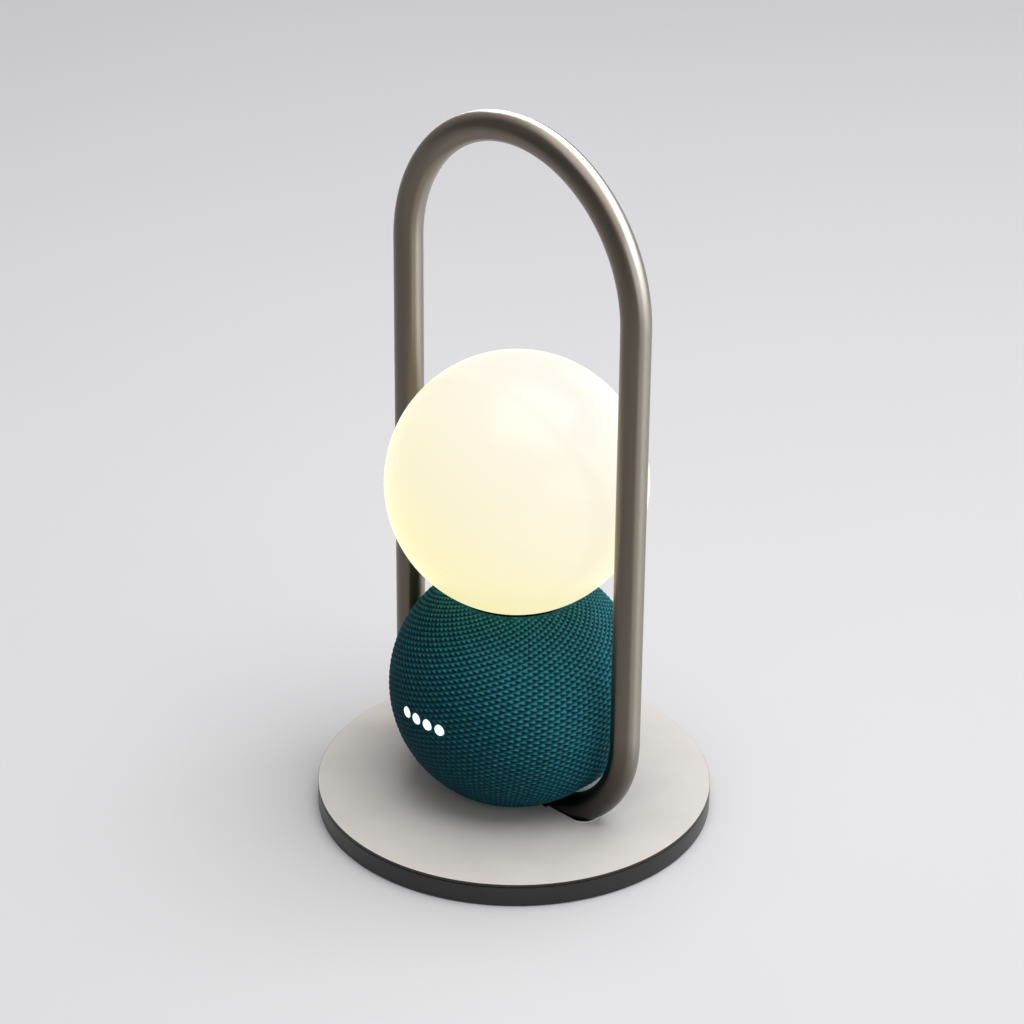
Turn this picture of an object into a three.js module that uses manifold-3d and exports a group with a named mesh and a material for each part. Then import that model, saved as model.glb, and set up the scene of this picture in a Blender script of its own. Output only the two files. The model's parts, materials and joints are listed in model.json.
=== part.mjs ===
// A ball speaker and an opal globe lamp on a round base, inside a bent tube loop.
// Millimetres, +Z up. The origin is the centre of the base's underside, the loop stands in the XZ
// plane, and the speaker's front, with its four status lights, faces -Y.
import * as THREE from 'three';
import { mergeVertices } from 'three/addons/utils/BufferGeometryUtils.js';
import Module from 'manifold-3d';

const wasm = await Module();
wasm.setup();

// ---------------------------------------------------------------- driving dimensions

const GAP = 0.3; // between pieces that rest on each other

const BASE_RADIUS = 79.6;
const BASE_TOP_Z = 10;
const PAD = { radius: 76, thickness: 0.8 };
const PAN = { wall: 2.4, floor: 1.8, chamfer: 0.5, lowZ: 0.2, slotHalf: 30 };
const WEIGHT = { slotHalf: 43, threadZ: 4.2 };
const COVER = { thickness: 1.2, edge: 0.4, hole: 14.3 };

const TUBE_RADIUS = 5.9;
const TUBE_WALL = 1.5;
const LEG_X = 61.05;
const ARCH_TOP_Z = 289.2; // of the tube's centre line
const FOOT_BEND_RADIUS = 44.6;
const FOOT_Z = 7; // centre line of the tube's run under the speaker
const TUBE_END_X = 3;
const JOINER = { radius: 4.1, halfLength: 14 };
const CLAMP = { wall: 1.2, width: 8, tabY: 12.8, screwY: 10.1 };
const CLAMP_SCREW = { radius: 1.2, hole: 1.5, head: 2.3, headHeight: 1.5, tipZ: 4.5 };
const SLOT_TRIM = { width: 0.9, proud: 0.2, startX: 26, centreX: 39.3 };

const BALL_RADIUS = 50.6;
const BALL_Z = 54.5;
const FABRIC_THICKNESS = 1.2;
const FABRIC_RIM_Z = { low: 10.4, high: 97.4 };
const HOUSING_WALL = 2.4;
const SEAM_Z = 64;
const FLOOR = { underside: 17, top: 19.5, recess: 14.3 };
const HOUSING_TOP = { z: 95, hole: 15.2, thickness: 2 };
const BASE_SCREW = { radius: 1.5, headRadius: 2.8, headHeight: 1.6, circle: 17.5, tipZ: 16.2 };
const SOUND_SLOT = { count: 12, width: 9, lowZ: 21, highZ: 26, fromX: 30, toX: 51 };

const LIGHT = { count: 4, radius: 2.6, z: 55.6, pitchDeg: 7.2, innerEnd: 43.4, proud: 0.1 };
const LIGHT_CLEARANCE = 0.25;
const LIGHT_TURN_DEG = -1.5; // from the exact front to the middle of the row
const LED_BOARD = { halfWidth: 13, halfHeight: 4, thickness: 1.2 };

const PANEL = { halfWidth: 16, halfHeight: 11, corner: 5, z: 40, thickness: 1, seam: 0.35 };
const PANEL_WINDOW = { halfWidth: 13, halfHeight: 9 };
const CONTROL_BOARD = { y: 36, thickness: 1.2, halfWidth: 12.5, halfHeight: 9 };
const MUTE = { x: -9.1, z: 44, travel: 2.2, width: 4.6, height: 2.4, innerY: 43.2, outerY: 49.7 };
const MUTE_KEEPER = { sideLap: 0.6, endLap: 0.8, thickness: 1 };
const MUTE_GROOVE = { count: 3, pitch: 1.1, halfWidth: 0.2, depth: 0.4 };
const BUTTON = { x: 8, z: 44, radius: 3, flange: 3.9, innerY: 44, flangeY: 44.8, outerY: 49.4 };
const SWITCH_BODY = { width: 9, height: 5, frontY: 42.9 };
const INLET = { z: 34.5, width: 8.9, height: 3.2, wall: 0.3, innerY: 37.5, outerY: 45.8 };
const TONGUE = { halfWidth: 3.3, halfHeight: 0.35, setback: 1.2 };

const DRIVER_Z = 29.8; // underside of the driver's flange, from which the driver's own heights are
const DRIVER = { mouth: 22.8, flange: 27, flangeTopZ: 1.5, waist: 17.5, neck: 9.2, backZ: 14 };
const BASKET = { shoulder: 25.5, innerShoulder: 23.8, innerWaist: 16, floorZ: 12 };
const BASKET_WINDOW = { fromX: 12, toX: 26, halfWidth: 5, lowZ: 3.5, highZ: 10 };
const MAGNET = { radius: 18, lowZ: 14.3, highZ: 21.3 };
const YOKE = { pole: 7, poleLowZ: 13, plateLowZ: 21.6, plateHighZ: 24.6 };
const VOICE_COIL = { inner: 7.6, outer: 8.5, topZ: 17 };
const CONE = { edge: 19, lowZ: 2.5, skin: 0.8, neckZ: 8.9, capZ: 6.3 };
const SURROUND = { centre: 20.9, outer: 1.6, inner: 1, z: 1.7 };
const BAFFLE = { inner: 24, outer: 37.5, lowZ: 27.3 };
const DEFLECTOR = { foot: 19, shoulder: 6, lowZ: 19.8, shoulderZ: 24.3, topZ: 25.5 };
const RADIATOR = { z: 54, innerX: 38, thickness: 2, frame: 21, hole: 17.2, plate: 12, port: 13 };
const RADIATOR_ROLL = { rise: 1.3, halfSkin: 0.4 };

const CHASSIS = { radius: 42, halfX: 34, halfY: 38, lowZ: 57.5, highZ: 59 };
const MAIN_BOARD = { halfX: 28, halfY: 25, lowZ: 60, highZ: 61.6 };
const SHIELD = { lowX: -19, highX: 3, halfY: 9, height: 2.4 };
const BATTERY = { halfX: 27, halfY: 21, corner: 3, lowZ: 66.5, highZ: 78.5 };

const GLOBE_RADIUS = 51.65;
const GLOBE_WALL = 2.3;
const GLOBE_Z = 144;
const GLOBE_RIM_Z = 98.25;
const COLLAR = { bore: 15.2, neck: 18.1, flange: 21.5, lowZ: 95.3, flangeZ: 96.8, topZ: 106 };
const SNAP = { ring: 18.2, wire: 0.6, z: 101.15, groove: 17.1, grooveHalf: 0.85 };
const SINK = { core: 14.8, fins: 12, finRadius: 21, finWidth: 1.2, lowZ: 84, finTopZ: 92.5 };
const SINK_CAP = { radius: 17.8, thickness: 1.7 };
const LAMP_BOARD = { radius: 15, thickness: 1.2, chips: 6, chipX: 10, chipHalf: 1.5, chipRise: 0.6 };
const DIFFUSER = { radius: 17.5, height: 10, skin: 1 };

// Sides of a full circle, on wide discs, on the ball and globe, and on small pieces.
const SIDES = { disc: 40, ball: 28, small: 16, screw: 10 };

// ---------------------------------------------------------------- materials

function finish(color, roughness, metalness = 0) {
  return new THREE.MeshStandardMaterial({ color, roughness, metalness });
}

const bronze = () => finish(0x6b5f56, 0.35, 0.9);
const darkSteel = () => finish(0x2e2926, 0.55, 0.6);
const steel = () => finish(0x9a9a9c, 0.35, 1);
const brightTrim = () => finish(0xd9d8d6, 0.3, 0.8);
const palePaint = () => finish(0xcdc8c0, 0.7);
const rubber = () => finish(0x1c1c1c, 0.9);
const knit = () => finish(0x11525c, 0.95);
const darkPlastic = () => finish(0x16262a, 0.6);
const greyPlastic = () => finish(0x55585a, 0.55);
const circuitBoard = () => finish(0x12492c, 0.5);
const opal = () => finish(0xfff6dc, 0.35);
const aluminium = () => finish(0xb8babd, 0.4, 1);
const paper = () => finish(0x26262a, 0.85);
const whiteLight = () => finish(0xf4fbff, 0.3);
const ferrite = () => finish(0x3a3a3d, 0.6, 0.3);

// ---------------------------------------------------------------- shape helpers

/** A closed geometry as a solid, with shared vertices merged and collapsed triangles dropped. */
function solid(geometry) {
  const bare = geometry.clone();
  bare.deleteAttribute('normal');
  bare.deleteAttribute('uv');
  const merged = mergeVertices(bare, 1e-3);
  const index = Array.from(merged.index.array);
  const triVerts = [];
  for (let i = 0; i < index.length; i += 3) {
    const [a, b, c] = index.slice(i, i + 3);
    if (a !== b && b !== c && c !== a) {
      triVerts.push(a, b, c);
    }
  }
  return new wasm.Manifold(new wasm.Mesh({
    numProp: 3,
    vertProperties: new Float32Array(merged.attributes.position.array),
    triVerts: new Uint32Array(triVerts),
  }));
}

/** A solid back as a flat-shaded geometry. */
function surface(body) {
  const { vertProperties, triVerts } = body.getMesh();
  const geometry = new THREE.BufferGeometry();
  geometry.setAttribute('position', new THREE.BufferAttribute(new Float32Array(vertProperties), 3));
  geometry.setIndex(new THREE.BufferAttribute(new Uint32Array(triVerts), 1));
  geometry.computeVertexNormals();
  return geometry;
}

/** The first geometry with all the others cut away. */
function cut(geometry, ...tools) {
  return surface(tools.reduce((left, tool) => left.subtract(solid(tool)), solid(geometry)));
}

/** All geometries joined. */
function join(...geometries) {
  return surface(geometries.map(solid).reduce((left, right) => left.add(right)));
}

/** What two geometries share. */
function overlap(first, second) {
  return surface(solid(first).intersect(solid(second)));
}

/** A closed profile of [radius, z] points, anticlockwise, turned about Z. */
function turned(profile, segments = SIDES.ball) {
  const points = profile.map(([radius, z]) => new THREE.Vector2(radius, z));
  const onAxis = profile[0][0] === 0 && profile.at(-1)[0] === 0;
  if (!onAxis) {
    points.push(points[0].clone());
  }
  return new THREE.LatheGeometry(points, segments).rotateX(Math.PI / 2);
}

/** A flat ring, or a disc when the inner radius is 0. */
function ring(inner, outer, lowZ, highZ, segments = SIDES.ball) {
  return turned([[inner, lowZ], [outer, lowZ], [outer, highZ], [inner, highZ]], segments);
}

/** Points of a circle about [0, centreZ] between two heights, in equal angles. */
function arc(centreZ, radius, fromZ, toZ, steps) {
  const clamped = (z) => THREE.MathUtils.clamp((z - centreZ) / radius, -1, 1);
  const from = Math.asin(clamped(fromZ));
  const to = Math.asin(clamped(toZ));
  return Array.from({ length: steps + 1 }, (_, i) => {
    const angle = from + ((to - from) * i) / steps;
    const r = Math.abs(Math.abs(angle) - Math.PI / 2) < 1e-6 ? 0 : radius * Math.cos(angle);
    return [r, centreZ + radius * Math.sin(angle)];
  });
}

/** A box given by its lowest and highest corners. */
function block(low, high) {
  const size = high.map((value, i) => value - low[i]);
  const centre = high.map((value, i) => (value + low[i]) / 2);
  return new THREE.BoxGeometry(...size).translate(...centre);
}

/** A round bar along Z. */
function bar(radius, lowZ, highZ, segments = SIDES.screw) {
  const length = highZ - lowZ;
  return new THREE.CylinderGeometry(radius, radius, length, segments)
    .rotateX(Math.PI / 2)
    .translate(0, 0, (lowZ + highZ) / 2);
}

/** A round bar along Y, at a given x and z. */
function barAlongY(radius, x, z, lowY, highY, segments = SIDES.screw) {
  const length = highY - lowY;
  return new THREE.CylinderGeometry(radius, radius, length, segments)
    .translate(0, (lowY + highY) / 2, 0)
    .translate(x, 0, z);
}

/** A rounded rectangle outline about the origin. */
function roundedRectangle(halfWidth, halfHeight, corner) {
  const x = halfWidth - corner;
  const y = halfHeight - corner;
  const quarter = Math.PI / 2;
  const shape = new THREE.Shape();
  shape.absarc(x, y, corner, 0, quarter);
  shape.absarc(-x, y, corner, quarter, 2 * quarter);
  shape.absarc(-x, -y, corner, 2 * quarter, 3 * quarter);
  shape.absarc(x, -y, corner, 3 * quarter, 4 * quarter);
  shape.closePath();
  return shape;
}

/** An outline in the XY plane, raised from lowZ to highZ. */
function raised(shape, lowZ, highZ, curveSegments = 3) {
  const depth = highZ - lowZ;
  return new THREE.ExtrudeGeometry(shape, { depth, bevelEnabled: false, curveSegments })
    .translate(0, 0, lowZ);
}

/** An outline drawn in the XZ plane, run from lowY to highY. */
function runAlongY(shape, z, lowY, highY, curveSegments = 3) {
  return raised(shape, lowY, highY, curveSegments)
    .rotateX(Math.PI / 2)
    .translate(0, lowY + highY, z);
}

/** Copies of a geometry, turned about Z to equal angles from a first one. */
function around(geometry, count, firstDeg = 0) {
  const step = (2 * Math.PI) / count;
  const first = THREE.MathUtils.degToRad(firstDeg);
  return Array.from({ length: count }, (_, i) => geometry.clone().rotateZ(first + i * step));
}

// ---------------------------------------------------------------- the assembly

const speaker = new THREE.Group();

/** Adds one named piece. */
function piece(name, geometry, material, parent = speaker) {
  const mesh = new THREE.Mesh(geometry, material);
  mesh.name = name;
  parent.add(mesh);
  return mesh;
}

// ---------------------------------------------------------------- the loop

const footX = LEG_X - FOOT_BEND_RADIUS;
const footCentreZ = FOOT_Z + FOOT_BEND_RADIUS;
const archCentreZ = ARCH_TOP_Z - LEG_X;

/** The loop's centre line: a plane path stood up in the XZ plane. */
class LoopCurve extends THREE.Curve {
  constructor() {
    super();
    this.path = new THREE.Path();
    this.path.moveTo(TUBE_END_X, FOOT_Z);
    this.path.lineTo(footX, FOOT_Z);
    this.path.absarc(footX, footCentreZ, FOOT_BEND_RADIUS, -Math.PI / 2, 0);
    this.path.lineTo(LEG_X, archCentreZ);
    this.path.absarc(0, archCentreZ, LEG_X, 0, Math.PI);
    this.path.lineTo(-LEG_X, footCentreZ);
    this.path.absarc(-footX, footCentreZ, FOOT_BEND_RADIUS, Math.PI, 1.5 * Math.PI);
    this.path.lineTo(-TUBE_END_X, FOOT_Z);
  }

  getPoint(t, target = new THREE.Vector3()) {
    const { x, y } = this.path.getPoint(t);
    return target.set(x, 0, y);
  }
}

/** A bar of the loop's shape, hollow when a bore is given. */
function loopBar(radius, bore = 0) {
  const section = new THREE.Shape().absarc(0, 0, radius, 0, 2 * Math.PI);
  if (bore > 0) {
    section.holes.push(new THREE.Path().absarc(0, 0, bore, 0, 2 * Math.PI));
  }
  return new THREE.ExtrudeGeometry(section, {
    extrudePath: new LoopCurve(),
    steps: 48,
    curveSegments: 5,
    bevelEnabled: false,
  });
}

/** The room that a neighbour leaves round the loop's tube. */
const loopRoom = loopBar(TUBE_RADIUS + GAP);

function addLoop() {
  piece('loop_tube', loopBar(TUBE_RADIUS, TUBE_RADIUS - TUBE_WALL), bronze());

  const joiner = bar(JOINER.radius, -JOINER.halfLength, JOINER.halfLength);
  piece('loop_joiner', joiner.rotateY(Math.PI / 2), steel()).position.z = FOOT_Z;

  addClamp();
}

/** A strap that holds the tube's run down on the base, under the speaker. */
function addClamp() {
  const seatZ = BASE_TOP_Z - COVER.thickness;
  const topZ = seatZ + CLAMP.wall;
  const halfWidth = CLAMP.width / 2;
  const inner = TUBE_RADIUS + GAP;
  const hoop = bar(inner + CLAMP.wall, -halfWidth, halfWidth, SIDES.small).rotateY(Math.PI / 2);
  const tabs = block([-halfWidth, -CLAMP.tabY, seatZ], [halfWidth, CLAMP.tabY, topZ]);
  const strap = cut(
    join(hoop.translate(0, 0, FOOT_Z), tabs),
    bar(inner, -CLAMP.width, CLAMP.width, SIDES.small).rotateY(Math.PI / 2).translate(0, 0, FOOT_Z),
    block([-CLAMP.width, -CLAMP.tabY - 1, -CLAMP.width], [CLAMP.width, CLAMP.tabY + 1, seatZ]),
    ...clampScrewPlaces().map((y) => bar(CLAMP_SCREW.hole, 0, 2 * topZ).translate(0, y, 0)),
  );
  piece('loop_clamp', strap, steel());

  const { radius, head, headHeight, tipZ } = CLAMP_SCREW;
  const headZ = topZ + GAP;
  const screw = turned([[0, tipZ], [radius, tipZ], [radius, headZ], [head, headZ],
    [head, headZ + headHeight], [0, headZ + headHeight]], SIDES.screw);
  clampScrewPlaces().forEach((y, i) => {
    piece(`clamp_screw_${i + 1}`, screw.clone(), steel()).position.y = y;
  });
}

function clampScrewPlaces() {
  return [-CLAMP.screwY, CLAMP.screwY];
}

// ---------------------------------------------------------------- the base

const panUndersideZ = PAD.thickness + GAP;
const coverUndersideZ = BASE_TOP_Z - COVER.thickness;
const panTopZ = coverUndersideZ - GAP;
const panFloorTopZ = panUndersideZ + PAN.floor;

/** Holes for the four screws that hold the ball. */
function baseScrewHoles(radius, lowZ, highZ) {
  return around(bar(radius, lowZ, highZ).translate(BASE_SCREW.circle, 0, 0), 4, 45);
}

/** A slot with round ends along X, for the loop's tube. */
function tubeSlot(halfLength, halfWidth) {
  const outline = roundedRectangle(halfLength, halfWidth, halfWidth - 0.01);
  return raised(outline, -1, BASE_TOP_Z + 1, 4);
}

function addBase() {
  piece('foot_pad', ring(0, PAD.radius, 0, PAD.thickness), rubber());

  const pan = turned([
    [0, panUndersideZ],
    [PAD.radius + GAP, panUndersideZ],
    [PAD.radius + GAP, PAN.lowZ],
    [BASE_RADIUS - PAN.chamfer, PAN.lowZ],
    [BASE_RADIUS, PAN.lowZ + PAN.chamfer],
    [BASE_RADIUS, panTopZ],
    [BASE_RADIUS - PAN.wall, panTopZ],
    [BASE_RADIUS - PAN.wall, panFloorTopZ],
    [0, panFloorTopZ],
  ], SIDES.disc);
  const headRoom = BASE_SCREW.headRadius + GAP;
  const panSlot = tubeSlot(PAN.slotHalf, TUBE_RADIUS + GAP);
  piece('base_pan', cut(pan, panSlot, ...baseScrewHoles(headRoom, 0, BASE_TOP_Z)), darkSteel());

  const weightLowZ = panFloorTopZ + GAP;
  const weight = ring(0, BASE_RADIUS - PAN.wall - GAP, weightLowZ, panTopZ, SIDES.disc);
  piece('base_weight', cut(
    weight,
    tubeSlot(WEIGHT.slotHalf, TUBE_RADIUS + GAP),
    ...baseScrewHoles(BASE_SCREW.radius + GAP, 0, BASE_TOP_Z),
    ...clampScrewPlaces().map((y) => (
      bar(CLAMP_SCREW.hole, WEIGHT.threadZ, BASE_TOP_Z).translate(0, y, 0)
    )),
  ), steel());

  addCover();
  addSlotTrims();
  addBaseScrews();
}

function addCover() {
  const edge = COVER.edge;
  const cover = turned([
    [COVER.hole, coverUndersideZ],
    [BASE_RADIUS, coverUndersideZ],
    [BASE_RADIUS, BASE_TOP_Z - edge],
    [BASE_RADIUS - edge, BASE_TOP_Z],
    [COVER.hole, BASE_TOP_Z],
  ], SIDES.disc);
  const trimEnd = SLOT_TRIM.centreX + TUBE_RADIUS + GAP + SLOT_TRIM.width;
  const slot = tubeSlot(trimEnd + GAP, TUBE_RADIUS + 2 * GAP + SLOT_TRIM.width);
  const screwHoles = baseScrewHoles(BASE_SCREW.radius + GAP, 0, BASE_TOP_Z + 1);
  piece('base_cover', cut(cover, slot, ...screwHoles), palePaint());
}

/** The bright lips round the slot where the loop's two feet go into the cover. */
function addSlotTrims() {
  const inner = TUBE_RADIUS + GAP;
  const outer = inner + SLOT_TRIM.width;
  const quarter = Math.PI / 2;
  const outline = new THREE.Shape();
  outline.moveTo(SLOT_TRIM.startX, -outer);
  outline.absarc(SLOT_TRIM.centreX, 0, outer, -quarter, quarter);
  outline.lineTo(SLOT_TRIM.startX, outer);
  outline.lineTo(SLOT_TRIM.startX, inner);
  outline.absarc(SLOT_TRIM.centreX, 0, inner, quarter, -quarter, true);
  outline.lineTo(SLOT_TRIM.startX, -inner);
  const lip = raised(outline, coverUndersideZ, BASE_TOP_Z + SLOT_TRIM.proud, 6);
  piece('slot_trim_right', lip, brightTrim());
  piece('slot_trim_left', lip.clone(), brightTrim()).rotation.z = Math.PI;
}

/** Four screws that go up through the base into the ball's floor. */
function addBaseScrews() {
  const { radius, headRadius, headHeight, circle, tipZ } = BASE_SCREW;
  const headZ = panUndersideZ + 0.2;
  const neckZ = headZ + headHeight;
  const screw = turned([[0, headZ], [headRadius, headZ], [headRadius, neckZ], [radius, neckZ],
    [radius, tipZ], [0, tipZ]], SIDES.screw);
  for (let i = 0; i < 4; i += 1) {
    const angle = THREE.MathUtils.degToRad(45 + 90 * i);
    const mesh = piece(`base_screw_${i + 1}`, screw.clone(), steel());
    mesh.position.set(circle * Math.cos(angle), circle * Math.sin(angle), 0);
  }
}

// ---------------------------------------------------------------- the ball's shells

const housingOuter = BALL_RADIUS - FABRIC_THICKNESS - GAP;
const housingInner = housingOuter - HOUSING_WALL;

/** Round holes towards the four lights at the ball's front. */
function lightHoles() {
  return lightAngles().map((angle) => (
    barAlongY(LIGHT.radius + LIGHT_CLEARANCE, 0, LIGHT.z, -BALL_RADIUS - 2, -LIGHT.innerEnd + 2)
      .rotateZ(angle)
  ));
}

function lightAngles() {
  const middle = (LIGHT.count - 1) / 2;
  return Array.from({ length: LIGHT.count }, (_, i) => (
    THREE.MathUtils.degToRad(LIGHT_TURN_DEG + (i - middle) * LIGHT.pitchDeg)
  ));
}

/** The room for a rounded panel at the back of the ball. */
function panelPrism(halfWidth, halfHeight, corner) {
  return runAlongY(roundedRectangle(halfWidth, halfHeight, corner), PANEL.z, 30, 60, 3);
}

function addHousings() {
  const low = SEAM_Z - GAP / 2;
  const high = SEAM_Z + GAP / 2;
  const bottomZ = BASE_TOP_Z + GAP;

  const bowl = turned([
    [FLOOR.recess, bottomZ],
    ...arc(BALL_Z, housingOuter, bottomZ, low, 9),
    ...arc(BALL_Z, housingInner, low, FLOOR.top, 7),
    [0, FLOOR.top],
    [0, FLOOR.underside],
    [FLOOR.recess, FLOOR.underside],
  ]);
  const slotMiddle = block([SOUND_SLOT.fromX, -SOUND_SLOT.width / 2, SOUND_SLOT.lowZ],
    [SOUND_SLOT.toX, SOUND_SLOT.width / 2, SOUND_SLOT.highZ]);
  const ports = bar(RADIATOR.port, -60, 60, SIDES.small).rotateY(Math.PI / 2).translate(0, 0, RADIATOR.z);
  piece('lower_housing', cut(
    bowl,
    loopRoom,
    ports,
    ...around(slotMiddle, SOUND_SLOT.count, 180 / SOUND_SLOT.count),
    ...lightHoles(),
    panelPrism(PANEL_WINDOW.halfWidth, PANEL_WINDOW.halfHeight, 3),
    ...baseScrewHoles(BASE_SCREW.radius + GAP, 0, BASE_SCREW.tipZ + GAP),
  ), darkPlastic());

  const { z, hole, thickness } = HOUSING_TOP;
  piece('upper_housing', turned([
    ...arc(BALL_Z, housingOuter, high, z, 6),
    [hole, z],
    [hole, z - thickness],
    ...arc(BALL_Z, housingInner, z - thickness, high, 5),
  ]), darkPlastic());

  piece('fabric_sleeve', cut(
    turned([
      ...arc(BALL_Z, BALL_RADIUS, FABRIC_RIM_Z.low, FABRIC_RIM_Z.high, 12),
      ...arc(BALL_Z, BALL_RADIUS - FABRIC_THICKNESS, FABRIC_RIM_Z.high, FABRIC_RIM_Z.low, 10),
    ]),
    loopRoom,
    ...lightHoles(),
    panelPrism(PANEL.halfWidth + PANEL.seam, PANEL.halfHeight + PANEL.seam,
      PANEL.corner + PANEL.seam),
  ), knit());
}

// ---------------------------------------------------------------- the rear panel

function addRearPanel() {
  const inner = BALL_RADIUS - FABRIC_THICKNESS;
  const shell = turned([
    ...arc(BALL_Z, inner + PANEL.thickness, 20, 60, 6),
    ...arc(BALL_Z, inner, 60, 20, 6),
  ]);
  const plate = overlap(shell, panelPrism(PANEL.halfWidth, PANEL.halfHeight, PANEL.corner));
  const muteSlot = roundedRectangle((MUTE.width + MUTE.travel) / 2 + GAP, MUTE.height / 2 + GAP, 1);
  const inletHole = roundedRectangle(INLET.width / 2 + GAP, INLET.height / 2 + GAP, 1.5);
  piece('rear_panel', cut(
    plate,
    runAlongY(muteSlot, MUTE.z, 40, 60).translate(MUTE.x + MUTE.travel / 2, 0, 0),
    runAlongY(inletHole, INLET.z, 40, 60),
    barAlongY(BUTTON.radius + GAP, BUTTON.x, BUTTON.z, 40, 60, SIDES.small),
  ), greyPlastic());

  addControlBoard();
  addMuteSwitch();
  addPowerButton();
  addInlet();
}

function addControlBoard() {
  const { y, thickness, halfWidth, halfHeight } = CONTROL_BOARD;
  const board = block([-halfWidth, y, PANEL.z - halfHeight],
    [halfWidth, y + thickness, PANEL.z + halfHeight]);
  piece('control_board', board, circuitBoard());

  const bodies = { slide_switch: MUTE.x + MUTE.travel / 2, tact_switch: BUTTON.x };
  for (const [name, x] of Object.entries(bodies)) {
    const halfX = SWITCH_BODY.width / 2;
    const halfZ = SWITCH_BODY.height / 2;
    const body = block([x - halfX, y + thickness + GAP, MUTE.z - halfZ],
      [x + halfX - GAP, SWITCH_BODY.frontY, MUTE.z + halfZ]);
    piece(name, body, greyPlastic());
  }
}

/** A slide knob, shown at its unmuted end; it travels towards +X. */
function addMuteSwitch() {
  const { x, z, width, height, innerY, outerY } = MUTE;
  const knob = block([-width / 2, innerY, -height / 2], [width / 2, outerY, height / 2]);
  const { sideLap, endLap, thickness } = MUTE_KEEPER;
  const keeper = block([-width / 2 - sideLap, innerY, -height / 2 - endLap],
    [width / 2 + sideLap, innerY + thickness, height / 2 + endLap]);
  const { count, pitch, halfWidth, depth } = MUTE_GROOVE;
  const grooves = Array.from({ length: count }, (_, i) => {
    const x0 = (i - (count - 1) / 2) * pitch;
    return block([x0 - halfWidth, outerY - depth, -height], [x0 + halfWidth, outerY + 1, height]);
  });
  piece('mute_switch', cut(join(knob, keeper), ...grooves), rubber()).position.set(x, 0, z);
}

/** A push button with a flange behind the panel; it travels inwards, towards -Y. */
function addPowerButton() {
  const { x, z, radius, flange, innerY, flangeY, outerY } = BUTTON;
  const dish = 0.3;
  const button = turned([[0, innerY], [flange, innerY], [flange, flangeY], [radius, flangeY],
    [radius, outerY - dish], [radius - dish, outerY], [0, outerY - dish]], SIDES.small);
  piece('power_button', button.rotateX(-Math.PI / 2).translate(x, 0, z), rubber());
}

/** A USB-C sized inlet: a shell with a closed back and a tongue. */
function addInlet() {
  const { z, width, height, wall, innerY, outerY } = INLET;
  const outer = roundedRectangle(width / 2, height / 2, height / 2 - 0.05);
  const bore = roundedRectangle(width / 2 - wall, height / 2 - wall, height / 2 - wall - 0.05);
  const shell = cut(
    runAlongY(outer, z, innerY, outerY, 4),
    runAlongY(bore, z, innerY + 1, outerY + 1, 4),
  );
  const { halfWidth, halfHeight, setback } = TONGUE;
  const tongue = block([-halfWidth, innerY + GAP, z - halfHeight],
    [halfWidth, outerY - setback, z + halfHeight]);
  piece('usb_inlet', join(shell, tongue), steel());
}

// ---------------------------------------------------------------- the status lights

function addLights() {
  const length = BALL_RADIUS + LIGHT.proud - LIGHT.innerEnd;
  lightAngles().forEach((angle, i) => {
    const pipe = barAlongY(LIGHT.radius, 0, 0, -LIGHT.innerEnd - length, -LIGHT.innerEnd);
    const mesh = piece(`light_pipe_${i + 1}`, pipe, whiteLight());
    mesh.rotation.z = angle;
    mesh.position.z = LIGHT.z;
  });
  const { halfWidth, halfHeight, thickness } = LED_BOARD;
  const frontY = -(LIGHT.innerEnd * Math.cos(lightAngles()[0]) - 3 * GAP);
  const board = block([-halfWidth, frontY, LIGHT.z - halfHeight],
    [halfWidth, frontY + thickness, LIGHT.z + halfHeight]);
  piece('led_board', board, circuitBoard());
}

// ---------------------------------------------------------------- the loudspeaker

/** A driver that fires down on to a cone, which turns the sound out through the slots. */
function addDriver() {
  const { foot, shoulder, lowZ, shoulderZ, topZ } = DEFLECTOR;
  const deflector = turned([[0, lowZ], [foot, lowZ], [shoulder, shoulderZ], [0, topZ]], SIDES.small);
  piece('sound_deflector', deflector, darkPlastic());
  const baffle = ring(BAFFLE.inner, BAFFLE.outer, BAFFLE.lowZ, DRIVER_Z - GAP);
  piece('driver_baffle', baffle, darkPlastic());

  const driver = new THREE.Group();
  driver.position.z = DRIVER_Z;
  speaker.add(driver);
  piece('driver_basket', basketShape(), darkSteel(), driver);
  const magnet = ring(DRIVER.neck, MAGNET.radius, MAGNET.lowZ, MAGNET.highZ, SIDES.small);
  piece('driver_magnet', magnet, ferrite(), driver);
  piece('driver_yoke', turned(yokeProfile(), SIDES.small), steel(), driver);
  piece('driver_cone', turned(coneProfile(), SIDES.small), paper(), driver);
  const surround = turned(halfRoll(SURROUND, SURROUND.z, -1), SIDES.small);
  piece('driver_surround', surround, rubber(), driver);
}

/** The driver's frame: a flange, a tapered bowl with four windows, and a back plate. */
function basketShape() {
  const { mouth, flange, flangeTopZ, waist, neck, backZ } = DRIVER;
  const { shoulder, innerShoulder, innerWaist, floorZ } = BASKET;
  const { fromX, toX, halfWidth, lowZ, highZ } = BASKET_WINDOW;
  const bowl = turned([
    [mouth, 0], [flange, 0], [flange, flangeTopZ], [shoulder, flangeTopZ],
    [waist, floorZ], [waist, backZ], [neck, backZ], [neck, floorZ],
    [innerWaist, floorZ], [innerShoulder, flangeTopZ], [mouth, flangeTopZ],
  ], SIDES.small);
  const window = block([fromX, -halfWidth, lowZ], [toX, halfWidth, highZ]);
  return cut(bowl, ...around(window, 4));
}

/** The steel plate behind the magnet, with the pole that stands inside the voice coil. */
function yokeProfile() {
  const { pole, poleLowZ, plateLowZ, plateHighZ } = YOKE;
  return [
    [0, poleLowZ], [pole, poleLowZ], [pole, plateLowZ],
    [MAGNET.radius, plateLowZ], [MAGNET.radius, plateHighZ], [0, plateHighZ],
  ];
}

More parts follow.
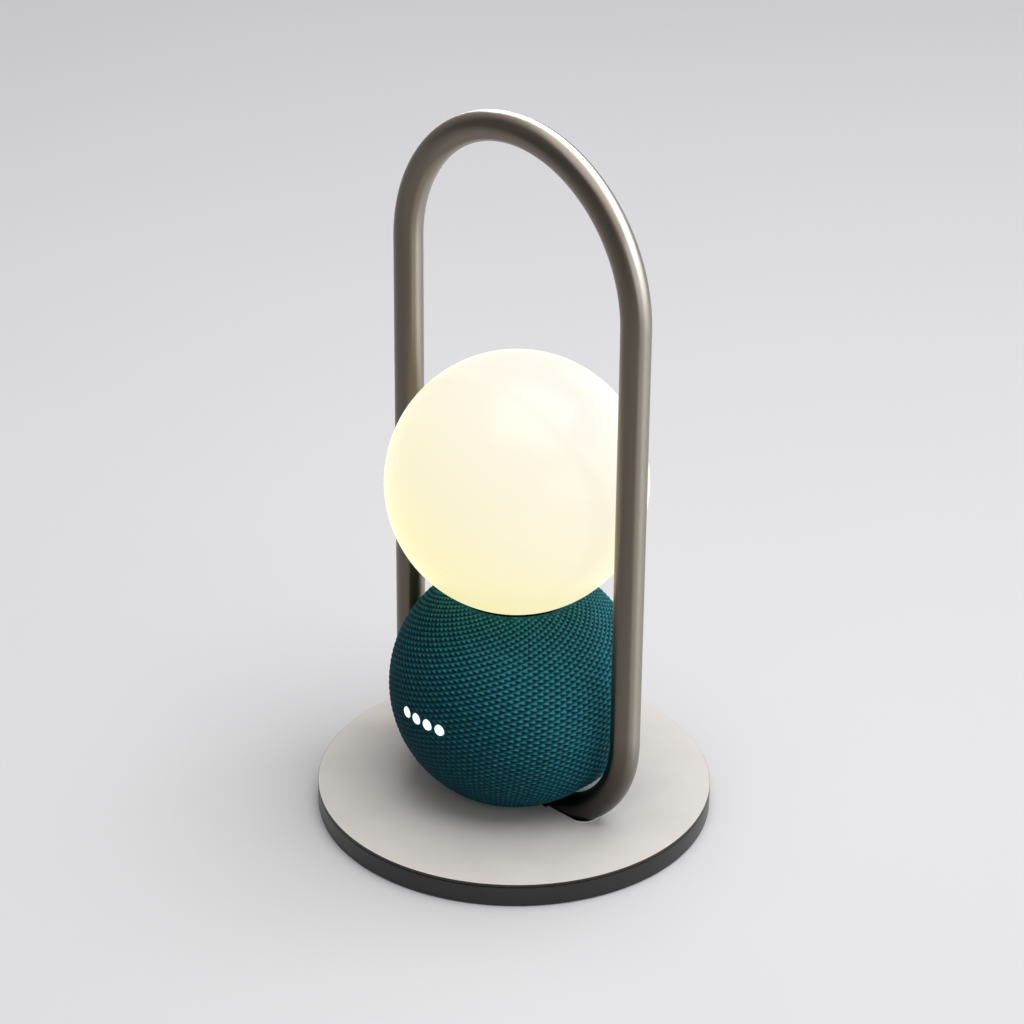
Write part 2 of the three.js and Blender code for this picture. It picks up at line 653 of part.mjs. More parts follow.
/** The cone in one with its dust cap, which bulges down, and its voice coil. */
function coneProfile() {
  const { edge, lowZ, skin, neckZ, capZ } = CONE;
  const { inner, outer, topZ } = VOICE_COIL;
  const capRimZ = neckZ - skin;
  const capBend = { radius: 5, z: capZ + skin * 0.75 };
  return [
    [0, capZ], [capBend.radius, capBend.z], [inner + 0.5, capRimZ - 0.2], [edge, lowZ],
    [edge, lowZ + skin], [outer, neckZ], [outer, topZ], [inner, topZ], [inner, neckZ - 0.1],
    [capBend.radius, capBend.z + skin], [0, capZ + skin],
  ];
}

/** A half-round roll profile, bulging down (-1) or up (+1) from a level. */
function halfRoll({ centre, outer, inner }, level, side) {
  const steps = 4;
  const points = [];
  for (const [radius, from, to] of [[outer, 0, Math.PI], [inner, Math.PI, 0]]) {
    for (let i = 0; i <= steps; i += 1) {
      const angle = from + ((to - from) * i) / steps;
      points.push([centre + radius * Math.cos(angle), level + side * radius * Math.sin(angle)]);
    }
  }
  return side > 0 ? points : points.reverse();
}

/** A passive radiator on each side, moving along X. */
function addRadiators() {
  const { z, innerX, thickness, frame, hole, plate } = RADIATOR;
  const outerX = innerX + thickness;
  for (const [side, turn] of [['right', Math.PI / 2], ['left', -Math.PI / 2]]) {
    const group = new THREE.Group();
    group.position.z = z;
    group.rotation.y = turn;
    speaker.add(group);
    piece(`radiator_frame_${side}`, ring(hole, frame, innerX, outerX, SIDES.small), greyPlastic(), group);
    const middle = (innerX + outerX) / 2;
    const { halfSkin } = RADIATOR_ROLL;
    const membrane = turned([
      [0, innerX],
      [plate, innerX],
      [plate, middle - halfSkin],
      ...arcRoll(plate, hole - GAP, middle),
      [plate, middle + halfSkin],
      [plate, outerX],
      [0, outerX],
    ], SIDES.small);
    piece(`radiator_${side}`, membrane, rubber(), group);
  }
}

/** The membrane's thin roll between its weight plate and its frame. */
function arcRoll(inner, outer, level) {
  const middle = (inner + outer) / 2;
  const { rise, halfSkin } = RADIATOR_ROLL;
  return [
    [middle, level + rise - halfSkin],
    [outer, level - halfSkin],
    [outer, level + halfSkin],
    [middle, level + rise + halfSkin],
  ];
}

// ---------------------------------------------------------------- the electronics

/** A flat box centred on the Z axis. */
function slab({ halfX, halfY, lowZ, highZ }) {
  return block([-halfX, -halfY, lowZ], [halfX, halfY, highZ]);
}

function addElectronics() {
  const disc = ring(0, CHASSIS.radius, CHASSIS.lowZ, CHASSIS.highZ);
  piece('chassis_plate', overlap(disc, slab(CHASSIS)), aluminium());
  piece('main_board', slab(MAIN_BOARD), circuitBoard());

  const shieldLowZ = MAIN_BOARD.highZ + GAP;
  const shield = block([SHIELD.lowX, -SHIELD.halfY, shieldLowZ],
    [SHIELD.highX, SHIELD.halfY, shieldLowZ + SHIELD.height]);
  piece('processor_shield', shield, steel());

  const cells = roundedRectangle(BATTERY.halfX, BATTERY.halfY, BATTERY.corner);
  piece('battery_pack', raised(cells, BATTERY.lowZ, BATTERY.highZ), darkPlastic());
}

// ---------------------------------------------------------------- the lamp

function addLamp() {
  const inner = GLOBE_RADIUS - GLOBE_WALL;
  piece('globe', turned([
    ...arc(GLOBE_Z, GLOBE_RADIUS, GLOBE_RIM_Z, GLOBE_Z + GLOBE_RADIUS, 12),
    ...arc(GLOBE_Z, inner, GLOBE_Z + inner, GLOBE_RIM_Z, 9),
  ]), opal());

  const { bore, neck, flange, lowZ, flangeZ, topZ } = COLLAR;
  const grooveLowZ = SNAP.z - SNAP.grooveHalf;
  const grooveHighZ = SNAP.z + SNAP.grooveHalf;
  piece('globe_collar', turned([
    [bore, lowZ], [flange, lowZ], [flange, flangeZ], [neck, flangeZ],
    [neck, grooveLowZ], [SNAP.groove, grooveLowZ], [SNAP.groove, grooveHighZ], [neck, grooveHighZ],
    [neck, topZ], [bore, topZ],
  ], SIDES.small), darkSteel());

  const gasketTopZ = GLOBE_RIM_Z - GAP;
  piece('globe_gasket', ring(neck + GAP, flange, flangeZ + GAP, gasketTopZ, SIDES.small), rubber());

  const snapRing = new THREE.TorusGeometry(SNAP.ring, SNAP.wire, 6, SIDES.small);
  piece('globe_snap_ring', snapRing, steel()).position.z = SNAP.z;

  addLampInside(topZ);
}

/** The heat sink hangs on the collar's top and carries the light board and its diffuser. */
function addLampInside(collarTopZ) {
  const { core, fins, finRadius, finWidth, lowZ, finTopZ } = SINK;
  const capLowZ = collarTopZ + GAP;
  const capTopZ = capLowZ + SINK_CAP.thickness;
  const body = turned([[0, lowZ], [core, lowZ], [core, capLowZ], [SINK_CAP.radius, capLowZ],
    [SINK_CAP.radius, capTopZ], [0, capTopZ]], SIDES.small);
  const fin = block([core - 2, -finWidth / 2, lowZ], [finRadius, finWidth / 2, finTopZ]);
  piece('lamp_heat_sink', join(body, ...around(fin, fins)), aluminium());

  const { radius, thickness, chips, chipX, chipHalf, chipRise } = LAMP_BOARD;
  const boardLowZ = capTopZ + GAP;
  const boardTopZ = boardLowZ + thickness;
  const board = ring(0, radius, boardLowZ, boardTopZ, SIDES.small);
  const chip = block([chipX - chipHalf, -chipHalf, boardLowZ + thickness / 2],
    [chipX + chipHalf, chipHalf, boardTopZ + chipRise]);
  piece('lamp_led_board', join(board, ...around(chip, chips)), circuitBoard());

  const { height, skin } = DIFFUSER;
  piece('lamp_diffuser', turned([
    ...dome(boardLowZ, DIFFUSER.radius, height),
    ...dome(boardLowZ, DIFFUSER.radius - skin, height - skin).reverse(),
  ], SIDES.small), opal());
}

/** Points of half an upright oval, from its rim up to its top on the axis. */
function dome(rimZ, radius, height) {
  const steps = 4;
  return Array.from({ length: steps + 1 }, (_, i) => {
    const angle = ((i / steps) * Math.PI) / 2;
    return [i === steps ? 0 : radius * Math.cos(angle), rimZ + height * Math.sin(angle)];
  });
}

addBase();
addLoop();
addHousings();
addRearPanel();
addLights();
addDriver();
addRadiators();
addElectronics();
addLamp();

export default speaker;
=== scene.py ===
# Looks of the smart speaker: a knit-covered ball and an opal globe lamp on a round base, in a tube
# loop. Sizes are in millimetres, and mesh_piece() turns them into metres. The frame is the CAD
# model's: +Z up, origin under the base's centre, loop in the XZ plane, front towards -Y.
import json
import math

import bpy
import numpy as np
from mathutils import Matrix, Quaternion, Vector


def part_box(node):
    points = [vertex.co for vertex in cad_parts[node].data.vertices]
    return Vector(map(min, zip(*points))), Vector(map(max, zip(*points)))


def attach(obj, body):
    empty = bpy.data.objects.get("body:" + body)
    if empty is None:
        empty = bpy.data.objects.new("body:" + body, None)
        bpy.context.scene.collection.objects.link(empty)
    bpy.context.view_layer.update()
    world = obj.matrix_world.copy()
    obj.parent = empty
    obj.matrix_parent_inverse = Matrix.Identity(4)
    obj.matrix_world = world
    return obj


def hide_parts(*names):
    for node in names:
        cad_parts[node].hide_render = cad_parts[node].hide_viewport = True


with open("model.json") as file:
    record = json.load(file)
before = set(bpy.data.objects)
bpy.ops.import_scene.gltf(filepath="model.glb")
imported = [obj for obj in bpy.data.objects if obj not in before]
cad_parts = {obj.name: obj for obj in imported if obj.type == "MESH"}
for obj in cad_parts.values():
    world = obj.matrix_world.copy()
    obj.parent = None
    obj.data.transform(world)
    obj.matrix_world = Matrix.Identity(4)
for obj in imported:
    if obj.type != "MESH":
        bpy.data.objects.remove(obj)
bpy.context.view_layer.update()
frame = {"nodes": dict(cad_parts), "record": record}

MM = 0.001


# ---------------------------------------------------------------- dimensions, from the CAD model


def low(node):
    """A CAD node's lowest corner, in millimetres."""
    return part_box(node)[0] / MM


def high(node):
    """A CAD node's highest corner, in millimetres."""
    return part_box(node)[1] / MM


def middle(node):
    """The middle of a CAD node's box, in millimetres."""
    return (low(node) + high(node)) / 2


BASE_RADIUS = high("base_pan").x
COVER_LOW_Z = low("base_cover").z
COVER_TOP_Z = high("base_cover").z
COVER_SLOT = (46.7, 7.4)  # half length, end radius
PAN_SLOT = (30.0, 6.2)
SCREW_CIRCLE_RADIUS = 17.5
SCREW_ANGLES = [math.radians(degrees) for degrees in (45, 135, 225, 315)]
SCREW_PLACES = [
    (SCREW_CIRCLE_RADIUS * math.cos(angle), SCREW_CIRCLE_RADIUS * math.sin(angle))
    for angle in SCREW_ANGLES
]

TUBE_RADIUS = 5.9
TUBE_BORE_RADIUS = 4.4
LEG_X = high("loop_tube").x - TUBE_RADIUS
ARCH_CENTRE_Z = high("loop_tube").z - TUBE_RADIUS - LEG_X
FOOT_BEND_RADIUS = 44.6
FOOT_Z = low("loop_tube").z + TUBE_RADIUS
FOOT_BEND_X = LEG_X - FOOT_BEND_RADIUS
FOOT_BEND_Z = FOOT_Z + FOOT_BEND_RADIUS
TUBE_END_X = 3.0

BALL_RADIUS = high("fabric_sleeve").x
BALL_Z = 54.5
SLEEVE_Z = (low("fabric_sleeve").z, high("fabric_sleeve").z + 0.8)  # tucked in under the globe
SLEEVE_THICKNESS = 1.2

LENS_RADIUS = 2.3
LENS_ENDS = (43.4, 50.7)  # from the speaker's axis
LIGHT_HOLE_RADIUS = 2.55  # in the knit
LIGHT_PITCH = math.radians(7.2)
LIGHT_TURN = math.radians(-1.5)  # from the exact front to the middle of the row
LIGHT_COUNT = 4
LIGHT_Z = middle("light_pipe_1").z

PANEL_HALF = (high("rear_panel").x, (high("rear_panel").z - low("rear_panel").z) / 2)
PANEL_Z = middle("rear_panel").z
PANEL_CORNER = 5.0
PANEL_SEAM = 0.35
PANEL_RADIUS = 50.4
SWITCH_SLOT = (3.7, 1.5, 1.0)  # half width, half height, corner radius
SWITCH_SLOT_X = middle("mute_switch").x + 1.1  # the knob rests at one end of its slot
INLET_HOLE = (4.75, 1.9, 1.85)
BUTTON_HOLE_RADIUS = 3.3

GLOBE_Z = 144.0
GLOBE_RADIUS = high("globe").z - GLOBE_Z
GLOBE_RIM_Z = low("globe").z
GLOBE_WALL = 2.3


# ---------------------------------------------------------------- mesh helpers


def mesh_piece(name, points, faces, sharp_degrees=35.0):
    """A smooth-shaded mesh from points in millimetres, sharp where it turns by more than that."""
    mesh = bpy.data.meshes.new(name)
    mesh.from_pydata(np.asarray(points, float) * MM, [], faces)
    return mesh_object(name, mesh, sharp_degrees)


def mesh_object(name, mesh, sharp_degrees=35.0):
    """An object in the scene for a mesh, with smooth shading between its sharp edges."""
    mesh.polygons.foreach_set("use_smooth", [True] * len(mesh.polygons))
    mesh.set_sharp_from_angle(angle=math.radians(sharp_degrees))
    piece = bpy.data.objects.new(name, mesh)
    bpy.context.scene.collection.objects.link(piece)
    return piece


def dress(piece, material_slot, body, *nodes):
    """Gives a piece its material and body, and lets it stand for the CAD nodes named."""
    piece.data.materials.clear()
    piece.data.materials.append(MATERIALS[material_slot])
    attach(piece, body)
    if nodes:
        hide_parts(*nodes)
    return piece


def rounded(corners):
    """A closed outline whose (x, y, reach) corners are rounded off over that reach."""
    steps = 5
    outline = []
    for i, (x, y, reach) in enumerate(corners):
        corner = Vector((x, y))
        if reach == 0:
            outline.append(corner)
            continue
        before = Vector(corners[i - 1][:2]) - corner
        after = Vector(corners[(i + 1) % len(corners)][:2]) - corner
        start = corner + before.normalized() * reach
        end = corner + after.normalized() * reach
        for k in range(steps + 1):
            t = k / steps
            outline.append(start * (1 - t) ** 2 + corner * 2 * t * (1 - t) + end * t**2)
    return [tuple(point) for point in outline]


def lathe(name, profile, segments=96, sharp_degrees=35.0):
    """A closed (radius, z) profile turned about Z. Points on the axis become one vertex."""
    points = []
    rings = []
    for radius, z in profile:
        if radius < 1e-6:
            rings.append([len(points)] * segments)
            points.append((0.0, 0.0, z))
            continue
        rings.append(list(range(len(points), len(points) + segments)))
        for k in range(segments):
            angle = 2 * math.pi * k / segments
            points.append((radius * math.cos(angle), radius * math.sin(angle), z))
    faces = []
    for first, second in zip(rings, rings[1:] + rings[:1]):
        for k in range(segments):
            n = (k + 1) % segments
            corners = [first[k], first[n], second[n], second[k]]
            face = [v for i, v in enumerate(corners) if v != corners[i - 1]]
            if len(face) > 2:
                faces.append(face)
    return mesh_piece(name, points, faces, sharp_degrees)


def box_outline(half_width, half_height, reach):
    """A rounded rectangle about the origin."""
    return rounded([
        (half_width, half_height, reach), (-half_width, half_height, reach),
        (-half_width, -half_height, reach), (half_width, -half_height, reach),
    ])


def circle(radius, x=0.0, y=0.0, steps=32):
    """Points round a circle."""
    angles = [2 * math.pi * k / steps for k in range(steps)]
    return [(x + radius * math.cos(a), y + radius * math.sin(a)) for a in angles]


def stadium(half_length, radius):
    """A slot outline with round ends along X."""
    steps = 20
    centre = half_length - radius
    outline = []
    for side in (1, -1):
        for k in range(steps + 1):
            angle = math.pi * (k / steps - 0.5)
            x = side * (centre + radius * math.cos(angle))
            outline.append((x, side * radius * math.sin(angle)))
    return outline


def plate(name, outlines, low_z, high_z, edge):
    """A flat plate with rounded edges. Outlines inside another one are holes."""
    curve = bpy.data.curves.new(name, "CURVE")
    curve.dimensions = "2D"
    curve.fill_mode = "BOTH"
    curve.extrude = ((high_z - low_z) / 2 - edge) * MM
    curve.bevel_depth = edge * MM
    curve.bevel_resolution = 3
    curve.offset = -edge * MM
    for number, outline in enumerate(outlines):
        if number > 0:
            outline = outline[::-1]
        spline = curve.splines.new("POLY")
        spline.points.add(len(outline) - 1)
        for point, (x, y) in zip(spline.points, outline):
            point.co = (x * MM, y * MM, 0.0, 1.0)
        spline.use_cyclic_u = True
    holder = bpy.data.objects.new(name + "_outline", curve)
    bpy.context.scene.collection.objects.link(holder)
    graph = bpy.context.evaluated_depsgraph_get()
    mesh = bpy.data.meshes.new_from_object(holder.evaluated_get(graph))
    bpy.data.objects.remove(holder)
    mesh.transform(Matrix.Translation((0, 0, (low_z + high_z) / 2 * MM)))
    mesh.name = name
    return mesh_object(name, mesh)


def cut(piece, *tools):
    """Cuts the tools out of a piece and removes them."""
    for tool in tools:
        modifier = piece.modifiers.new("cut", "BOOLEAN")
        modifier.object = tool
        modifier.operation = "DIFFERENCE"
        modifier.solver = "EXACT"
    graph = bpy.context.evaluated_depsgraph_get()
    mesh = bpy.data.meshes.new_from_object(piece.evaluated_get(graph))
    piece.modifiers.clear()
    piece.data = mesh
    for tool in tools:
        bpy.data.objects.remove(tool)
    return piece


def placed(piece, matrix):
    """Moves a piece's mesh by a matrix whose translation is in millimetres."""
    matrix = matrix.copy()
    matrix.translation *= MM
    piece.data.transform(matrix)
    return piece


def joined(name, pieces):
    """Several pieces as one mesh."""
    points = []
    faces = []
    for piece in pieces:
        start = len(points)
        points += [vertex.co / MM for vertex in piece.data.vertices]
        faces += [[start + v for v in face.vertices] for face in piece.data.polygons]
        bpy.data.objects.remove(piece)
    return mesh_piece(name, points, faces)


# ---------------------------------------------------------------- material helpers


class Nodes:
    """A new material and short ways to add nodes to it. Texture coordinates are the object's."""

    def __init__(self, name):
        self.material = bpy.data.materials.new(name)
        self.material.use_nodes = True
        self.tree = self.material.node_tree
        self.shader = self.tree.nodes["Principled BSDF"]
        self.coordinates = self.tree.nodes.new("ShaderNodeTexCoord")

    def add(self, kind, **values):
        """A node of a kind, with its properties and sockets set. An output links, a value is set."""
        node = self.tree.nodes.new("ShaderNode" + kind)
        for key, value in values.items():
            if hasattr(node, key):
                setattr(node, key, value)
            else:
                self.set(node.inputs[key.replace("_", " ")], value)
        return node

    def set(self, socket, value):
        """Links an output to a socket, or sets the socket's own value."""
        if isinstance(value, bpy.types.NodeSocket):
            self.tree.links.new(value, socket)
        else:
            socket.default_value = value

    def surface(self, **values):
        """Sets the shader's sockets, named with _ for spaces."""
        for key, value in values.items():
            self.set(self.shader.inputs[key.replace("_", " ")], value)

    def stretched(self, scale, source="Object"):
        """Texture coordinates scaled by different amounts along each axis."""
        mapping = self.add("Mapping", Scale=scale)
        self.tree.links.new(self.coordinates.outputs[source], mapping.inputs["Vector"])
        return mapping.outputs["Vector"]

    def noise(self, scale, detail=3.0, stretch=(1, 1, 1), source="Object"):
        """A noise pattern with scale features per metre."""
        vector = self.stretched(stretch, source)
        return self.add("TexNoise", Vector=vector, Scale=scale, Detail=detail).outputs["Fac"]

    def ramp(self, factor, *stops):
        """A colour that passes through (place, colour) stops as factor grows."""
        node = self.add("ValToRGB")
        self.tree.links.new(factor, node.inputs["Fac"])
        elements = node.color_ramp.elements
        while len(elements) < len(stops):
            elements.new(1.0)
        for element, (place, colour) in zip(elements, stops):
            element.position = place
            element.color = (*colour, 1.0)
        return node.outputs["Color"]

    def between(self, factor, first, second, start=0.3, end=0.7):
        """A colour that goes from first to second as factor goes from start to end."""
        return self.ramp(factor, (start, first), (end, second))

    def height(self, axis):
        """How far a point lies along an axis, in metres."""
        node = self.add("VectorMath", operation="DOT_PRODUCT")
        self.tree.links.new(self.coordinates.outputs["Object"], node.inputs[0])
        node.inputs[1].default_value = axis
        return node.outputs["Value"]

    def span(self, factor, first, second, start=0.3, end=0.7):
        """A number that goes from first to second as factor goes from start to end."""
        node = self.add("MapRange")
        sockets = ("Value", "From Min", "From Max", "To Min", "To Max")
        for socket, value in zip(sockets, (factor, start, end, first, second)):
            self.set(node.inputs[socket], value)
        return node.outputs["Result"]

    def sum(self, first, second):
        """Two outputs added."""
        node = self.add("Math", operation="ADD")
        self.tree.links.new(first, node.inputs[0])
        self.tree.links.new(second, node.inputs[1])
        return node.outputs["Value"]

    def bump(self, height, depth_mm, below=None):
        """Bumps of that depth, laid over another bump's normal when one is given."""
        node = self.add("Bump", Strength=1.0, Distance=depth_mm * MM, Height=height)
        if below is not None:
            self.tree.links.new(below, node.inputs["Normal"])
        return node.outputs["Normal"]


def shade(colour, factor):
    """A colour made lighter or darker."""
    return tuple(min(1.0, channel * factor) for channel in colour)


def grained(name, colour, roughness, grain, depth_mm, contrast=0.12, metallic=0.0, **surface):
    """A finish with fine grain: colour, roughness and height vary with noise of grain per metre."""
    nodes = Nodes(name)
    fine = nodes.noise(grain, 4.0)
    broad = nodes.noise(grain / 40, 3.0)
    nodes.surface(
        Base_Color=nodes.between(broad, shade(colour, 1 - contrast), shade(colour, 1 + contrast)),
        Roughness=nodes.span(fine, roughness * 0.88, roughness * 1.12),
        Metallic=metallic,
        Normal=nodes.bump(fine, depth_mm),
        **surface,
    )
    return nodes.material


def brushed(name, colour, roughness, stretch, depth_mm):
    """Metal with fine lines; stretch is how much denser the lines lie along each axis."""
    nodes = Nodes(name)
    lines = nodes.noise(900, 4.0, stretch)
    broad = nodes.noise(60, 2.0)
    nodes.surface(
        Base_Color=nodes.between(broad, shade(colour, 0.92), shade(colour, 1.06)),
        Roughness=nodes.span(lines, roughness * 0.8, roughness * 1.2),
        Metallic=1.0,
        Anisotropic=0.6,
        Normal=nodes.bump(lines, depth_mm),
    )
    return nodes.material


# ---------------------------------------------------------------- materials


def loop_bronze():
    """Satin bronze, finished round the tube, so that its highlights run along it. Near the feet its
    colour is darkened as painted shade, for the ball's shadow there."""
    nodes = Nodes("loop_bronze")
    colour = (0.148, 0.120, 0.090)
    lines = nodes.noise(1.0, 3.0, (2600.0, 14.0, 1.0), "UV")
    tangent = nodes.add("Tangent", direction_type="UV_MAP", uv_map="along")
    nodes.surface(
        # Painted shade: the colour darkens towards black below 58 mm, near the feet.
        Base_Color=nodes.ramp(
            nodes.span(nodes.height((0, 0, 1)), 0.0, 1.0, 0.016, 0.058),
            (0.0, shade(colour, 0.1)),
            (0.5, shade(colour, 0.4)),
            (1.0, colour),
        ),
        Roughness=nodes.span(lines, 0.36, 0.42),
        Metallic=1.0,
        Anisotropic=0.95,
        Coat_Weight=0.6,
        Coat_Roughness=0.22,
        Tangent=tangent.outputs["Tangent"],
        Normal=nodes.bump(lines, 0.003),
    )
    return nodes.material


def knit():
    """Teal yarn with fine fibres. Painted shade darkens the holes and painted highlights pale the
    stitches' tops, and more painted shade darkens it low on the front's left."""
    nodes = Nodes("knit")
    fibres = nodes.noise(5200, 3.0, (1.0, 1.0, 2.2))
    yarns = nodes.noise(420, 3.0)
    # The stitch level paints shade into the holes and highlights onto the stitches' tops.
    stitch = nodes.add("Attribute", attribute_name="stitch").outputs["Fac"]
    # Painted shade: darker low on the front's left, away from the lit upper right.
    painted_shade_axis = (0.45, 0.46, 0.76)
    painted_shade = nodes.span(nodes.height(painted_shade_axis), -0.5, 0.08, 0.0, 0.058)
    level = nodes.sum(nodes.sum(stitch, nodes.span(yarns, -0.12, 0.12)), painted_shade)
    nodes.surface(
        Base_Color=nodes.ramp(
            level,
            (0.05, (0.000, 0.022, 0.029)),
            (0.55, (0.002, 0.074, 0.099)),
            (0.92, (0.040, 0.225, 0.270)),
        ),
        Roughness=nodes.span(fibres, 0.65, 0.88),
        Specular_IOR_Level=0.12,
        Normal=nodes.bump(fibres, 0.06),
    )
    return nodes.material


def opal_glass():
    """Lit opal glass: even warm light, whiter towards the top and right as painted light; smooth
    skin.
    """
    nodes = Nodes("opal_glass")
    clouds = nodes.noise(22, 3.0)
    # Painted light: whiter towards the top and the right, for the room's light falling on the glass.
    painted_light_side = (0.35, 0.30, 0.85)
    painted_light = nodes.height(painted_light_side)
    nodes.surface(
        Base_Color=(0.03, 0.03, 0.04, 1.0),
        Roughness=nodes.span(clouds, 0.24, 0.34),
        Specular_IOR_Level=0.3,
        Emission_Color=nodes.ramp(
            nodes.span(painted_light, 0.0, 1.0, 0.0766, 0.168),
            (0.0, (0.925, 0.845, 0.43)),
            (1.0, (0.950, 0.905, 0.80)),
        ),
        Emission_Strength=1.0,
        Normal=nodes.bump(nodes.noise(60, 2.0), 0.05),
    )
    return nodes.material


def lamp_diffuser():
    """The milky plastic dome under the globe, lit from below."""
    nodes = Nodes("lamp_diffuser")
    clouds = nodes.noise(90, 3.0)
    nodes.surface(
        Base_Color=(0.85, 0.83, 0.76, 1.0),
        Roughness=nodes.span(clouds, 0.45, 0.6),
        Emission_Color=nodes.between(clouds, (1.0, 0.90, 0.62), (1.0, 0.93, 0.70)),
        Emission_Strength=0.8,
        Normal=nodes.bump(nodes.noise(2500, 2.0), 0.01),
    )
    return nodes.material


def status_light():
    """A lit acrylic lens with a faint ripple."""
    nodes = Nodes("status_light")
    ripple = nodes.noise(900, 2.0)
    nodes.surface(
        Base_Color=(0.75, 0.82, 0.84, 1.0),
        Roughness=nodes.span(ripple, 0.18, 0.30),
        Emission_Color=nodes.between(ripple, (0.70, 0.93, 0.97), (0.80, 1.0, 1.0)),
        Emission_Strength=0.9,
        Normal=nodes.bump(ripple, 0.01),
    )
    return nodes.material


def circuit_board():
    """Green solder mask over copper tracks."""
    nodes = Nodes("circuit_board")
    tracks = nodes.add(
        "TexBrick", Vector=nodes.stretched((1, 1, 1)), Scale=260.0, Mortar_Size=0.03
    ).outputs["Fac"]
    nodes.surface(
        Base_Color=nodes.between(tracks, (0.012, 0.085, 0.035), (0.03, 0.17, 0.075), 0.0, 1.0),
        Roughness=nodes.span(nodes.noise(1500, 2.0), 0.28, 0.42),
        Coat_Weight=0.3,
        Normal=nodes.bump(tracks, 0.03),
    )
    return nodes.material


def make_materials():
    """One material for each slot of the record."""
    return {
        "loop_bronze": loop_bronze(),
        "knit": knit(),
        "opal_glass": opal_glass(),
        "lamp_diffuser": lamp_diffuser(),
        "status_light": status_light(),
        "circuit_board": circuit_board(),
        "base_pale": grained("base_pale", (0.78, 0.74, 0.71), 0.5, 2600, 0.025, 0.03),
        "base_dark": grained("base_dark", (0.014, 0.012, 0.011), 0.34, 2200, 0.012, 0.2),
        "bright_trim": grained("bright_trim", (0.88, 0.87, 0.86), 0.35, 1500, 0.004, 0.04, 0.25),
        "steel": brushed("steel", (0.52, 0.52, 0.53), 0.32, (1, 9, 9), 0.002),
        "aluminium": brushed("aluminium", (0.70, 0.71, 0.72), 0.36, (9, 1, 9), 0.002),
        "rubber": grained("rubber", (0.017, 0.017, 0.018), 0.72, 3000, 0.02, 0.15),
        "housing": grained("housing", (0.010, 0.026, 0.030), 0.48, 1800, 0.02, 0.1),
        "panel": grained("panel", (0.012, 0.048, 0.055), 0.5, 2600, 0.03, 0.08),
        "paper_cone": grained("paper_cone", (0.026, 0.026, 0.029), 0.85, 1500, 0.05, 0.25),
        "ferrite": grained("ferrite", (0.050, 0.050, 0.054), 0.6, 1200, 0.03, 0.2, 0.4),
        "battery_wrap": grained(
            "battery_wrap", (0.012, 0.020, 0.036), 0.22, 300, 0.02, 0.1, Coat_Weight=0.5
        ),
    }


# ---------------------------------------------------------------- the loop


def loop_path():
    """The centre line in the XZ plane as (x, z, inward x, inward z), from one foot's end round."""
    path = []

    def straight(start, end, inward, steps):
        for k in range(steps):
            t = k / steps
            place = [a + (b - a) * t for a, b in zip(start, end)]
            path.append((*place, *inward))

    def bend(centre_x, centre_z, radius, start_degrees, end_degrees, steps):
        for k in range(steps):
            angle = math.radians(start_degrees + (end_degrees - start_degrees) * k / steps)
            x, z = math.cos(angle), math.sin(angle)
            path.append((centre_x + radius * x, centre_z + radius * z, -x, -z))

    straight((TUBE_END_X, FOOT_Z), (FOOT_BEND_X, FOOT_Z), (0, 1), 8)
    bend(FOOT_BEND_X, FOOT_BEND_Z, FOOT_BEND_RADIUS, -90, 0, 64)
    straight((LEG_X, FOOT_BEND_Z), (LEG_X, ARCH_CENTRE_Z), (-1, 0), 64)
    bend(0, ARCH_CENTRE_Z, LEG_X, 0, 180, 160)
    straight((-LEG_X, ARCH_CENTRE_Z), (-LEG_X, FOOT_BEND_Z), (1, 0), 64)
    bend(-FOOT_BEND_X, FOOT_BEND_Z, FOOT_BEND_RADIUS, 180, 270, 64)
    straight((-FOOT_BEND_X, FOOT_Z), (-TUBE_END_X, FOOT_Z), (0, 1), 8)
    path.append((-TUBE_END_X, FOOT_Z, 0, 1))
    return path


def make_loop():
    """The bent tube, with its bore and its two cut ends."""
    path = loop_path()
    sides = 48
    points = []
    for radius in (TUBE_RADIUS, TUBE_BORE_RADIUS):
        for centre in path:
            points += ring_round(centre, radius, sides)
    faces, columns = tube_faces(len(path), sides)
    loop = mesh_piece("loop", points, faces)
    add_along_map(loop, path, faces, columns, sides)
    dress(loop, "loop_bronze", "root", "loop_tube")
    light_loop(loop)


def ring_round(centre, radius, sides):
    """Points round one place of the centre line."""
    x, z, inward_x, inward_z = centre
    ring = []
    for k in range(sides):
        angle = 2 * math.pi * k / sides
        inward = radius * math.cos(angle)
        ring.append((x + inward * inward_x, radius * math.sin(angle), z + inward * inward_z))
    return ring


def tube_faces(rings, sides):
    """The faces of the skin, the bore and the two cut ends, and the column each of them is in."""
    faces = []
    columns = []
    for layer in (0, 1):
        for i in range(rings - 1):
            for k in range(sides):
                a = (layer * rings + i) * sides + k
                b = (layer * rings + i) * sides + (k + 1) % sides
                quad = [a, b, b + sides, a + sides]
                faces.append(quad if layer == 0 else quad[::-1])
                columns.append(k)
    for i in (0, rings - 1):
        outer = i * sides
        inner = (rings + i) * sides
        for k in range(sides):
            n = (k + 1) % sides
            quad = [outer + k, inner + k, inner + n, outer + n]
            faces.append(quad if i == 0 else quad[::-1])
            columns.append(k)
    return faces, columns


def add_along_map(loop, path, faces, columns, sides):
    """A UV map that runs along the tube (u, in metres) and round it (v)."""
    lengths = [0.0]
    for (x, z, *_), (next_x, next_z, *_) in zip(path, path[1:]):
        lengths.append(lengths[-1] + math.hypot(next_x - x, next_z - z))
    values = []
    for column, face in zip(columns, faces):
        for vertex in face:
            place = (vertex // sides) % len(path)
            around = vertex % sides
            if column == sides - 1 and around == 0:
                around = sides
            values += [lengths[place] * MM, around / sides]
    layer = loop.data.uv_layers.new(name="along")
    layer.data.foreach_set("uv", values)


# ---------------------------------------------------------------- the base


def make_base():
    """The cover, the pan, the rubber pad below and the two lips of the slot."""
    make_cover()
    make_pan()
    make_foot_pad()
    for side in (1, -1):
        make_slot_trim(side)


